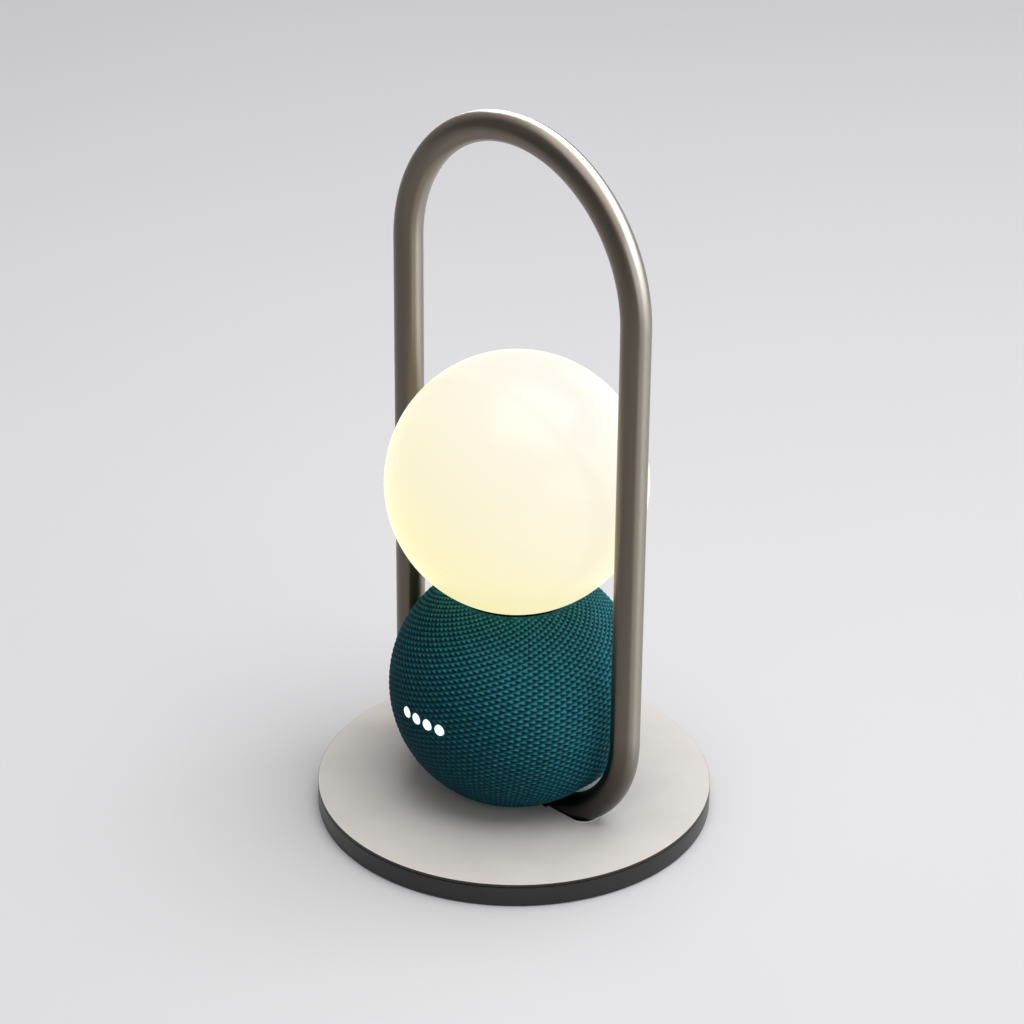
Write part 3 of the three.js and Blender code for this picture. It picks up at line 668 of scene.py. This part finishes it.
def make_cover():
    """The pale plate on the base. Its edge is painted like the pan's side."""
    screw_hole_radius = 1.8
    edge = 0.25
    painted = 0.2
    holes = [circle(screw_hole_radius, x, y, 16) for x, y in SCREW_PLACES]
    outlines = [circle(BASE_RADIUS, steps=256), stadium(*COVER_SLOT), *holes]
    cover = plate("cover", outlines, COVER_LOW_Z, COVER_TOP_Z, edge)
    dress(cover, "base_pale", "root", "base_cover")
    cover.data.materials.append(MATERIALS["base_dark"])
    for polygon in cover.data.polygons:
        if polygon.center.xy.length > (BASE_RADIUS - painted) * MM:
            polygon.material_index = 1


def make_pan():
    """The dark tray under the cover, with a rim that runs down round the foot pad."""
    wall, floor, slack = 2.4, 1.8, 0.3
    screw_hole_radius = 3.1
    rim_z = low("base_pan").z
    top_z = high("base_pan").z
    low_z = high("foot_pad").z + slack
    inner = high("foot_pad").x + slack
    pan = lathe("pan", rounded([
        (0, low_z, 0),
        (inner, low_z, 0.2),
        (inner, rim_z, 0.3),
        (BASE_RADIUS, rim_z, 0.6),
        (BASE_RADIUS, top_z, 0.15),
        (BASE_RADIUS - wall, top_z, 0.3),
        (BASE_RADIUS - wall, low_z + floor, 0.5),
        (0, low_z + floor, 0),
    ]), 256)
    holes = [stadium(*PAN_SLOT)] + [circle(screw_hole_radius, x, y) for x, y in SCREW_PLACES]
    tools = [plate("hole", [hole], low_z - 2, low_z + 4, 0.01) for hole in holes]
    dress(cut(pan, *tools), "base_dark", "root", "base_pan")


def make_foot_pad():
    """A rubber disc with moulded ridges underneath."""
    radius = high("foot_pad").x
    top = high("foot_pad").z
    ridge, ridge_width, ridge_pitch = 0.35, 2.6, 5.2
    flank = 0.4
    border = 4.0
    profile = [(0, top), (0, ridge)]
    inner = 6.0
    while inner < radius - border - 2:
        outer = inner + ridge_width
        profile += [(inner, ridge), (inner + flank, 0), (outer - flank, 0), (outer, ridge)]
        inner += ridge_pitch
    profile += [(radius - border, ridge), (radius - border + flank, 0)]
    profile += [(radius - 0.3, 0), (radius, 0.25)]
    profile += [(radius, top - 0.1), (radius - 0.1, top)]
    dress(lathe("foot_mat", profile, 160), "rubber", "root", "foot_pad")


def make_slot_trim(side):
    """The bright lip round one end of the slot, where a foot of the loop goes in."""
    node = "slot_trim_right" if side > 0 else "slot_trim_left"
    start_x, width = 26.0, 0.9
    outer = high(node).y
    inner = outer - width
    centre_x = high("slot_trim_right").x - outer

    def end(radius, degrees):
        """Points round the slot's end, for angles from the +X axis."""
        angles = [math.radians(angle) for angle in degrees]
        return [(centre_x + radius * math.cos(a), radius * math.sin(a)) for a in angles]

    outline = [(start_x, -outer), *end(outer, range(-90, 91, 6)), (start_x, outer)]
    outline += [(start_x, inner), *end(inner, range(90, -91, -6)), (start_x, -inner)]
    trim = plate("slot_lip", [outline], low(node).z, high(node).z, 0.22)
    if side < 0:
        placed(trim, Matrix.Rotation(math.pi, 4, "Z"))
    dress(trim, "bright_trim", "root", node)


# ---------------------------------------------------------------- sheets on the ball


def on_ball(azimuths, latitudes, radius):
    """Points on a ball round the speaker's centre, for angles in radians; azimuth 0 is -Y."""
    flat = radius * np.cos(latitudes)
    return np.stack([
        flat * np.sin(azimuths),
        -flat * np.cos(azimuths),
        BALL_Z + radius * np.sin(latitudes),
    ], axis=-1)


def outwards(points):
    """Unit vectors away from the ball's centre."""
    away = points - np.array([0.0, 0.0, BALL_Z])
    return away / np.linalg.norm(away, axis=-1, keepdims=True)


def along_ball(points, field):
    """The slope of a distance field along the ball's surface, as unit vectors."""
    step = 0.01
    slope = np.stack([
        (field(points + offset) - field(points - offset)) / (2 * step)
        for offset in np.eye(3) * step
    ], axis=-1)
    normal = outwards(points)
    slope -= normal * np.sum(slope * normal, axis=-1, keepdims=True)
    return slope / np.maximum(np.linalg.norm(slope, axis=-1, keepdims=True), 1e-6)


def box_distance(across, up, half_width, half_height, corner):
    """Distance from a rounded rectangle about the origin, negative inside."""
    qx = np.abs(across) - (half_width - corner)
    qy = np.abs(up) - (half_height - corner)
    outside = np.hypot(np.maximum(qx, 0), np.maximum(qy, 0))
    return outside + np.minimum(np.maximum(qx, qy), 0) - corner


def loop_distance(points):
    """Distance from the loop's centre line, below the arch."""
    x = np.abs(points[..., 0])
    z = points[..., 2]
    bend = np.abs(np.hypot(x - FOOT_BEND_X, z - FOOT_BEND_Z) - FOOT_BEND_RADIUS)
    foot = np.where(x > FOOT_BEND_X, bend, np.abs(z - FOOT_Z))
    return np.hypot(np.where(z > FOOT_BEND_Z, LEG_X - x, foot), points[..., 1])


def boundary(faces, count):
    """The edges that only one face uses, in that face's direction."""
    edges = np.stack([faces, np.roll(faces, -1, axis=1)], axis=-1).reshape(-1, 2)
    keys = np.sort(edges, axis=1)
    keys = keys[:, 0] * count + keys[:, 1]
    _, place, uses = np.unique(keys, return_index=True, return_counts=True)
    return edges[place[uses == 1]]


def ball_sheet(name, azimuths, latitudes, radius, field, edge, depth, relief=None, closed=False):
    """A sheet on the ball, kept where field (mm inside its outline) is positive, with edges that
    are rounded by edge and turned in by depth. relief lifts it, given its angles and field."""
    grid_azimuth, grid_latitude = np.meshgrid(azimuths, latitudes)
    points = on_ball(grid_azimuth, grid_latitude, radius)
    inside = field(points) > edge
    rows, columns = inside.shape
    index = np.arange(rows * columns).reshape(rows, columns)
    if closed:
        index = np.concatenate([index, index[:, :1]], axis=1)
        inside = np.concatenate([inside, inside[:, :1]], axis=1)
    quads = np.stack([index[:-1, :-1], index[:-1, 1:], index[1:, 1:], index[1:, :-1]], axis=-1)
    kept = inside[:-1, :-1] & inside[:-1, 1:] & inside[1:, 1:] & inside[1:, :-1]
    faces = quads[kept]
    points = points.reshape(-1, 3)
    rim_edges = boundary(faces, len(points))
    rim = np.unique(rim_edges)
    points[rim] = settled(points[rim], radius, field, edge)
    height = np.full(len(points), 0.5)
    if relief is not None:
        lift, height = relief(grid_azimuth.ravel(), grid_latitude.ravel(), field(points))
        lift[rim] = 0.0
        points += outwards(points) * lift[:, None]
    points, faces = turned_in(points, faces, rim_edges, rim, field, edge, depth)
    used = np.unique(faces)
    renumber = np.zeros(len(points), int)
    renumber[used] = np.arange(len(used))
    piece = mesh_piece(name, points[used], renumber[faces], 60.0)
    height = np.concatenate([height, np.full(len(points) - len(height), 0.5)])
    attribute = piece.data.attributes.new("stitch", "FLOAT", "POINT")
    attribute.data.foreach_set("value", height[used].astype(np.float32))
    return piece


def settled(points, radius, field, edge):
    """Moves points along the ball until they lie where field is edge."""
    for _ in range(4):
        missing = field(points) - edge
        points = points - along_ball(points, field) * missing[:, None]
        points = np.array([0, 0, BALL_Z]) + outwards(points) * radius
    return points


def turned_in(points, faces, rim_edges, rim, field, edge, depth):
    """Adds the rounded edge and the turned-in rim along a sheet's boundary."""
    steps = 4
    sideways = -along_ball(points[rim], field)
    inwards = -outwards(points[rim])
    place = np.full(len(points), -1)
    place[rim] = np.arange(len(rim))
    before = rim
    base = points[rim].copy()
    for k in range(1, steps + 2):
        angle = math.pi / 2 * min(k, steps) / steps
        down = edge * (1 - math.cos(angle)) if k <= steps else depth
        ring = base + sideways * edge * math.sin(angle) + inwards * down
        after = np.arange(len(points), len(points) + len(rim))
        points = np.concatenate([points, ring])
        first, second = place[rim_edges[:, 0]], place[rim_edges[:, 1]]
        strip = np.stack([before[second], before[first], after[first], after[second]], axis=-1)
        faces = np.concatenate([faces, strip])
        before = after
    return points, faces


# ---------------------------------------------------------------- the knitted sleeve

# The knit is a lattice of stitches. Each of its two waves is (turns per full circle of azimuth,
# turns per degree of latitude).
WAVE_S = (-50.0, 0.374)
WAVE_T = (75.0, 0.331)
YARN_LEAN = 1.15  # how much each stitch leans over the next
YARN_FULLNESS = 0.65
STITCH_HEIGHT = 0.34
STITCH_ROOM = 0.2  # the knit's plain edges lie this far inside the ball's radius

# The knit stands out round the holes for the loop's feet.
SWELL_HEIGHT = 1.0
SWELL_RISE = 3.5  # the distance from the hole over which it rises
SWELL_REACH = 16.0  # the distance from the hole at which it ends
SWELL_FALL = 9.0  # the last part of that reach, over which it falls
SWELL_Z = (16.0, 44.0)
SWELL_FADE = 8.0  # the height over which it fades at both ends of SWELL_Z


def stitches(azimuth, latitude):
    """The knit's height from -1 in the holes to 1 on the yarns."""
    phases = []
    for around, up in (WAVE_S, WAVE_T):
        phases.append(around * azimuth + 2 * math.pi * up * np.degrees(latitude))
    s, t = phases
    rows = np.cos(s) + np.cos(t) - YARN_LEAN * np.sin(s) * np.cos(t)
    return np.tanh(YARN_FULLNESS * rows)


def sleeve_field(points):
    """Millimetres inside the knit's outline: its two rims, the lights, the panel and the loop."""
    loop_gap = 0.3
    distances = [
        points[..., 2] - SLEEVE_Z[0],
        SLEEVE_Z[1] - points[..., 2],
        loop_distance(points) - TUBE_RADIUS - loop_gap,
    ]
    behind = points[..., 1] > 0
    window = box_distance(
        points[..., 0],
        points[..., 2] - PANEL_Z,
        PANEL_HALF[0] + PANEL_SEAM,
        PANEL_HALF[1] + PANEL_SEAM,
        PANEL_CORNER + PANEL_SEAM,
    )
    distances.append(np.where(behind, window, BALL_RADIUS))
    for angle in light_angles():
        across = points[..., 0] * math.cos(angle) + points[..., 1] * math.sin(angle)
        hole = np.hypot(across, points[..., 2] - LIGHT_Z) - LIGHT_HOLE_RADIUS
        distances.append(np.where(behind, BALL_RADIUS, hole))
    return np.minimum.reduce(distances)


def light_angles():
    """How far each status light is turned about Z from the front."""
    return [LIGHT_TURN + (i - (LIGHT_COUNT - 1) / 2) * LIGHT_PITCH for i in range(LIGHT_COUNT)]


def foot_swell(azimuth, latitude):
    """How far the knit stands out round the holes for the loop's feet."""
    points = on_ball(azimuth, latitude, BALL_RADIUS)
    distance = loop_distance(points) - TUBE_RADIUS
    rise = np.clip(distance / SWELL_RISE, 0, 1)
    ring = rise * np.clip((SWELL_REACH - distance) / SWELL_FALL, 0, 1)
    height = points[..., 2]
    fade_up = np.clip((SWELL_Z[1] - height) / SWELL_FADE, 0, 1)
    fade_down = np.clip((height - SWELL_Z[0]) / SWELL_FADE, 0, 1)
    return SWELL_HEIGHT * fade_up * fade_down * ring * ring * (3 - 2 * ring)


def make_sleeve():
    """The knit, a stretched sheet from the speaker's floor to the globe."""
    edge = 0.2
    flat_border = 1.4
    margin = 0.01

    def relief(azimuth, latitude, inside):
        """How far the knit's points are lifted, and their level from 0 in the holes to 1."""
        fade = np.clip((inside - edge) / flat_border, 0, 1)
        height = stitches(azimuth, latitude) * fade
        lift = STITCH_HEIGHT * (height - 0.5 * fade) + foot_swell(azimuth, latitude)
        return lift, 0.5 + 0.5 * height

    lowest = math.asin((SLEEVE_Z[0] - BALL_Z) / BALL_RADIUS)
    highest = math.asin((SLEEVE_Z[1] - BALL_Z) / BALL_RADIUS)
    sleeve = ball_sheet(
        "knit_sleeve",
        np.linspace(0, 2 * math.pi, 1000, endpoint=False),
        np.linspace(lowest - margin, highest + margin, 480),
        BALL_RADIUS - STITCH_ROOM,
        sleeve_field,
        edge,
        SLEEVE_THICKNESS,
        relief,
        closed=True,
    )
    dress(sleeve, "knit", "root", "fabric_sleeve")


# ---------------------------------------------------------------- lights and rear controls


def make_status_lights():
    """Four lenses with soft domes, each at its CAD light pipe."""
    inner, outer = LENS_ENDS
    profile = rounded([
        (0, inner, 0), (LENS_RADIUS, inner, 0.2), (LENS_RADIUS, outer - 0.45, 0.35),
        (LENS_RADIUS * 0.55, outer - 0.1, 0.9), (0, outer, 0),
    ])
    facing = Matrix.Rotation(math.pi / 2, 4, "X")
    for i, angle in enumerate(light_angles()):
        node = f"light_pipe_{i + 1}"
        lens = lathe(f"lens_{i + 1}", profile, 48, 60.0)
        turn = Matrix.Rotation(angle, 4, "Z")
        place = Matrix.Translation((0, 0, LIGHT_Z))
        dress(placed(lens, place @ turn @ facing), "status_light", "root", node)


def panel_field(points):
    """Millimetres inside the rear panel's outline, its switch slot, inlet and button hole."""
    across = points[..., 0]
    up = points[..., 2]
    button = middle("power_button")
    slot_z = middle("mute_switch").z
    inlet_z = middle("usb_inlet").z
    return np.minimum.reduce([
        -box_distance(across, up - PANEL_Z, *PANEL_HALF, PANEL_CORNER),
        box_distance(across - SWITCH_SLOT_X, up - slot_z, *SWITCH_SLOT),
        box_distance(across, up - inlet_z, *INLET_HOLE),
        np.hypot(across - button.x, up - button.z) - BUTTON_HOLE_RADIUS,
    ])


def make_rear_panel():
    """The curved panel, with the controls and the inlet in it."""
    edge, thickness = 0.3, 1.0
    margin = 0.01
    ring_radius = 0.86 * PANEL_RADIUS  # the ball's, at the panel's lower edge
    half_angle = PANEL_HALF[0] / ring_radius
    lowest = math.asin((low("rear_panel").z - BALL_Z) / PANEL_RADIUS)
    highest = math.asin((high("rear_panel").z - BALL_Z) / PANEL_RADIUS)
    panel = ball_sheet(
        "back_panel",
        np.linspace(math.pi - half_angle, math.pi + half_angle, 260),
        np.linspace(lowest - margin, highest + margin, 160),
        PANEL_RADIUS,
        panel_field,
        edge,
        thickness,
    )
    dress(panel, "panel", "root", "rear_panel")
    make_mute_switch()
    make_power_button()
    make_inlet()


BACKWARDS = Matrix.Rotation(-math.pi / 2, 4, "X")  # turns +Z to +Y, the speaker's back


def make_mute_switch():
    """A slide knob with finger ridges on a wider keeper behind the panel."""
    node = "mute_switch"
    centre = middle(node)
    back, front = low(node).y, high(node).y
    keeper_front = back + 1.0
    knob_front = front - 0.4
    ridge_pitch = 1.1
    keeper = plate("keeper", [box_outline(2.9, 2.0, 0.3)], back, keeper_front, 0.1)
    knob = plate("knob", [box_outline(2.3, 1.2, 0.45)], keeper_front, knob_front, 0.12)
    ridges = []
    for step in (-1.5, -0.5, 0.5, 1.5):
        ridge = plate("ridge", [box_outline(0.28, 1.05, 0.2)], knob_front - 0.1, front, 0.12)
        ridges.append(placed(ridge, Matrix.Translation((step * ridge_pitch, 0, 0))))
    switch = joined("mute_knob", [keeper, knob, *ridges])
    placed(switch, Matrix.Translation((centre.x, 0, centre.z)) @ BACKWARDS)
    dress(switch, "rubber", "mute_switch", node)


def make_power_button():
    """A dished round button with a flange behind the panel."""
    node = "power_button"
    centre = middle(node)
    back, front = low(node).y, high(node).y
    flange = high(node).x - centre.x
    flange_front = back + 0.8
    cap = 3.0
    button = lathe("power_cap", rounded([
        (0, back, 0), (flange, back, 0.2), (flange, flange_front, 0.2), (cap, flange_front, 0.1),
        (cap, front, 0.4), (2.2, front - 0.05, 0.4), (1.2, front - 0.35, 0.5), (0, front - 0.4, 0),
    ]), 48)
    placed(button, Matrix.Translation((centre.x, 0, centre.z)) @ BACKWARDS)
    dress(button, "rubber", "power_button", node)


def make_inlet():
    """The inlet's metal shell, its closed back and the contact tongue."""
    node = "usb_inlet"
    centre = middle(node)
    back, front = low(node).y, high(node).y
    half_width = high(node).x
    half_height = (high(node).z - low(node).z) / 2
    wall = 0.3
    rear_thickness = 1.0
    outer = stadium(half_width, half_height)
    inner = stadium(half_width - wall, half_height - wall)
    shell = plate("shell", [outer, inner], back + rear_thickness, front, 0.08)
    rear = plate("rear", [outer], back, back + rear_thickness + 0.05, 0.05)
    tongue = plate("tongue", [box_outline(3.3, 0.35, 0.1)], back + 0.5, front - 1.2, 0.08)
    inlet = joined("inlet_shell", [shell, rear, tongue])
    placed(inlet, Matrix.Translation((0, 0, centre.z)) @ BACKWARDS)
    dress(inlet, "steel", "root", node)


# ---------------------------------------------------------------- the globe


def globe_arc(radius, rim_z):
    """The globe's outline at a radius, from its rim at a height up to its top on the axis."""
    steps = 96
    rim = math.asin((rim_z - GLOBE_Z) / radius)
    arc = []
    for k in range(steps):
        angle = rim + (math.pi / 2 - rim) * k / steps
        arc.append((radius * math.cos(angle), GLOBE_Z + radius * math.sin(angle)))
    arc.append((0, GLOBE_Z + radius))
    return arc


def make_globe():
    """The opal shell: a blown ball with a wall, open at the bottom, with a bevelled rim."""
    bevel = 0.4
    outside = globe_arc(GLOBE_RADIUS, GLOBE_RIM_Z)
    inside = globe_arc(GLOBE_RADIUS - GLOBE_WALL, GLOBE_RIM_Z + bevel)
    dress(lathe("opal_globe", outside + inside[::-1], 192), "opal_glass", "root", "globe")


# ---------------------------------------------------------------- inner parts, floor, light, camera


def dress_cad_nodes():
    """Gives every CAD node the material of its slot in the record."""
    for part in frame["record"]["subparts"]:
        node = frame["nodes"][part["node"]]
        node.data.materials.clear()
        node.data.materials.append(MATERIALS[part["material_slot"]])


def make_floor():
    """A plain pale floor."""
    nodes = Nodes("floor")
    nodes.surface(
        Base_Color=nodes.between(nodes.noise(3, 2.0), (0.745, 0.74, 0.765), (0.755, 0.75, 0.77)),
        Roughness=0.9,
        Specular_IOR_Level=0.1,
    )
    half = 6000.0
    corners = [(-half, -half, 0), (half, -half, 0), (half, half, 0), (-half, half, 0)]
    floor = mesh_piece("floor", corners, [[0, 1, 2, 3]])
    floor.data.materials.append(nodes.material)


def add_light(name, place, target, size, power, colour):
    """A soft rectangular light, placed in metres."""
    light = bpy.data.lights.new(name, "AREA")
    light.shape = "RECTANGLE"
    light.size, light.size_y = size
    light.energy = power
    light.color = colour
    lamp = bpy.data.objects.new(name, light)
    lamp.location = place
    aim = Vector(target) - Vector(place)
    lamp.rotation_mode = "QUATERNION"
    lamp.rotation_quaternion = aim.to_track_quat("-Z", "Y")
    lamp.visible_camera = False
    bpy.context.scene.collection.objects.link(lamp)
    return lamp


UP = (0.0, 0.0, 1.0)
WALL_SIDE = (0.7, 0.714, 0.0)
WALL_STRENGTH = 1.3
ROOM_STRENGTH = 0.26


def make_world():
    """A dim room with a bright low wall to the right of the camera and darkness on its left."""
    world = bpy.data.worlds.new("studio")
    bpy.context.scene.world = world
    world.use_nodes = True
    tree = world.node_tree
    background = tree.nodes["Background"]
    background.inputs["Color"].default_value = (0.97, 0.98, 1.0, 1.0)
    direction = tree.nodes.new("ShaderNodeTexCoord").outputs["Generated"]

    def along(axis, start, end):
        """Goes from 0 to 1 as the direction's share along an axis goes from start to end."""
        dot = tree.nodes.new("ShaderNodeVectorMath")
        dot.operation = "DOT_PRODUCT"
        dot.inputs[1].default_value = axis
        tree.links.new(direction, dot.inputs[0])
        share = tree.nodes.new("ShaderNodeMapRange")
        share.interpolation_type = "SMOOTHSTEP"
        share.inputs["From Min"].default_value = start
        share.inputs["From Max"].default_value = end
        tree.links.new(dot.outputs["Value"], share.inputs["Value"])
        return share.outputs["Result"]

    wall = tree.nodes.new("ShaderNodeMath")
    wall.operation = "MULTIPLY"
    tree.links.new(along(WALL_SIDE, 0.2, 0.5), wall.inputs[0])
    tree.links.new(along(UP, 0.62, 0.35), wall.inputs[1])
    strength = tree.nodes.new("ShaderNodeMath")
    strength.operation = "MULTIPLY_ADD"
    strength.inputs[1].default_value = WALL_STRENGTH
    strength.inputs[2].default_value = ROOM_STRENGTH
    tree.links.new(wall.outputs["Value"], strength.inputs[0])
    tree.links.new(strength.outputs["Value"], background.inputs["Strength"])


def make_studio():
    """The floor, the room's light and one large soft light overhead."""
    make_floor()
    make_world()
    add_light("overhead", (0.24, 0.18, 1.6), (0.0, 0.0, 0.0), (1.6, 1.6), 24, (1.0, 0.99, 0.98))
    bpy.context.scene.view_settings.view_transform = "Standard"


def light_loop(loop):
    """Two large panels that only the loop's metal reflects: one beside it, one behind and above."""
    only = bpy.data.collections.new("lit_by_panels")
    only.objects.link(loop)
    middle_of_loop = (0.0, 0.0, 0.15)
    panels = [
        ("side_panel", (1.12, 0.43, 0.50), (2.24, 1.0), 24),
        ("back_panel", (0.1, 0.95, 1.05), (4.5, 0.9), 170),
    ]
    for name, place, size, power in panels:
        lamp = add_light(name, place, middle_of_loop, size, power, (0.74, 0.87, 1.0))
        lamp.light_linking.receiver_collection = only


CAMERA_AZIMUTH = math.radians(45.275)  # from the front towards the right
CAMERA_ELEVATION = math.radians(27.672)
CAMERA_ROLL = math.radians(0.514)
CAMERA_DISTANCE = 1.3147
CAMERA_LENS = 118.5
AIM_HEIGHT = 0.1308
AIM_LEFT = 0.0018  # the picture's middle lies this far to the left of the axis


def make_camera():
    """The photo's viewpoint."""
    camera = bpy.data.cameras.new("camera")
    camera.lens = CAMERA_LENS
    camera.sensor_width = 36.0
    camera.clip_start = 0.05
    camera.clip_end = 30.0
    holder = bpy.data.objects.new("camera", camera)
    bpy.context.scene.collection.objects.link(holder)
    back = Vector((
        math.sin(CAMERA_AZIMUTH) * math.cos(CAMERA_ELEVATION),
        -math.cos(CAMERA_AZIMUTH) * math.cos(CAMERA_ELEVATION),
        math.sin(CAMERA_ELEVATION),
    ))
    right = Vector((math.cos(CAMERA_AZIMUTH), math.sin(CAMERA_AZIMUTH), 0))
    target = Vector((0, 0, AIM_HEIGHT)) - right * AIM_LEFT
    holder.location = target + back * CAMERA_DISTANCE
    holder.rotation_mode = "QUATERNION"
    aim = (-back).to_track_quat("-Z", "Y")
    holder.rotation_quaternion = aim @ Quaternion((0, 0, 1), CAMERA_ROLL)
    bpy.context.scene.camera = holder


MATERIALS = make_materials()
dress_cad_nodes()
make_camera()
make_studio()
make_loop()
make_base()
make_sleeve()
make_status_lights()
make_rear_panel()
make_globe()
